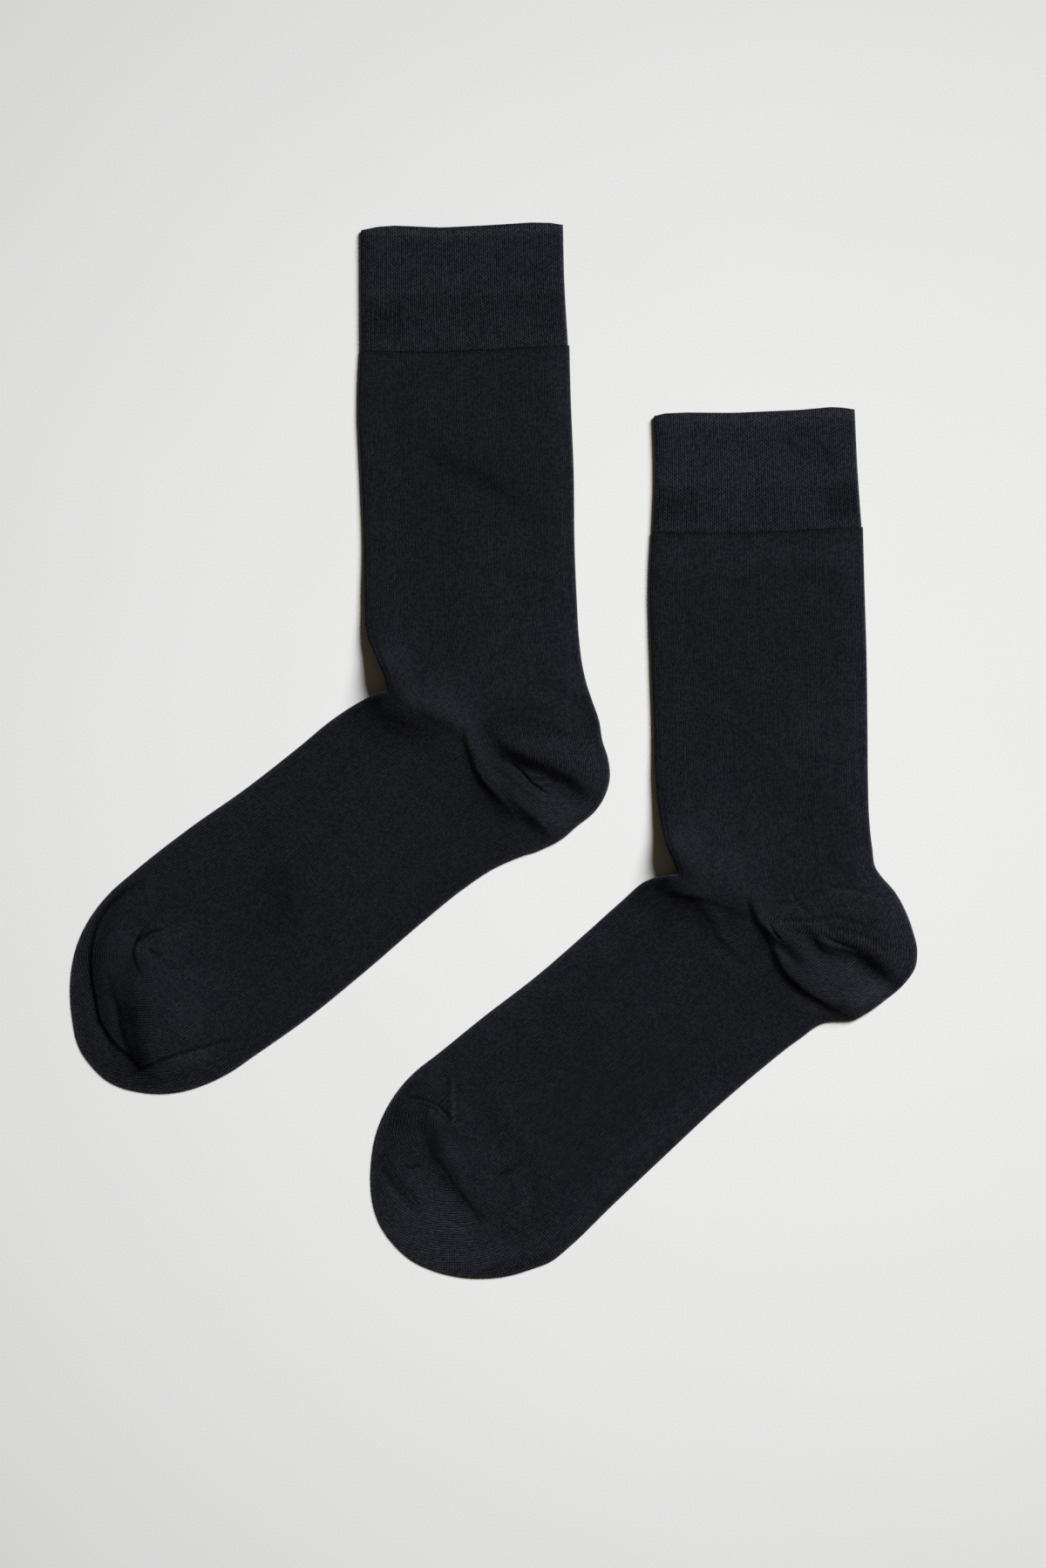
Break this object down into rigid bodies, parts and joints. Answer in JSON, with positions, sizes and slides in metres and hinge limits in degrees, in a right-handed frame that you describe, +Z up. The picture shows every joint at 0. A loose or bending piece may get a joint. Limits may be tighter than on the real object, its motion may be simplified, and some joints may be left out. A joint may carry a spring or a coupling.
{
  "type": "pair of crew socks",
  "caption": "Pair of plain fine-knit crew socks laid flat side by side, with ribbed cuffs, knitted heel pockets and rounded toe cups.",
  "frame": {"origin": "middle of the pair's flat outline, on the surface the socks lie on", "axes": "+X across the legs towards the heels, +Y up the legs towards the cuffs and along the pair's longest side, +Z up through the cloth"},
  "size_m": [0.3694, 0.4596, 0.0088],
  "materials": {
    "rib_knit": "matte fine mock-rib knit, dark navy charcoal",
    "plain_knit": "matte fine plain knit, dark navy charcoal",
    "close_knit": "matte closely knitted heel and toe, dark navy charcoal"
  },
  "bodies": {
    "root": {"sock_a_cuff": "rib_knit", "sock_a_leg": "plain_knit", "sock_a_heel": "close_knit", "sock_a_foot": "plain_knit", "sock_a_toe": "close_knit", "sock_b_cuff": "rib_knit", "sock_b_leg": "plain_knit", "sock_b_heel": "close_knit", "sock_b_foot": "plain_knit", "sock_b_toe": "close_knit"}
  },
  "joints": []
}
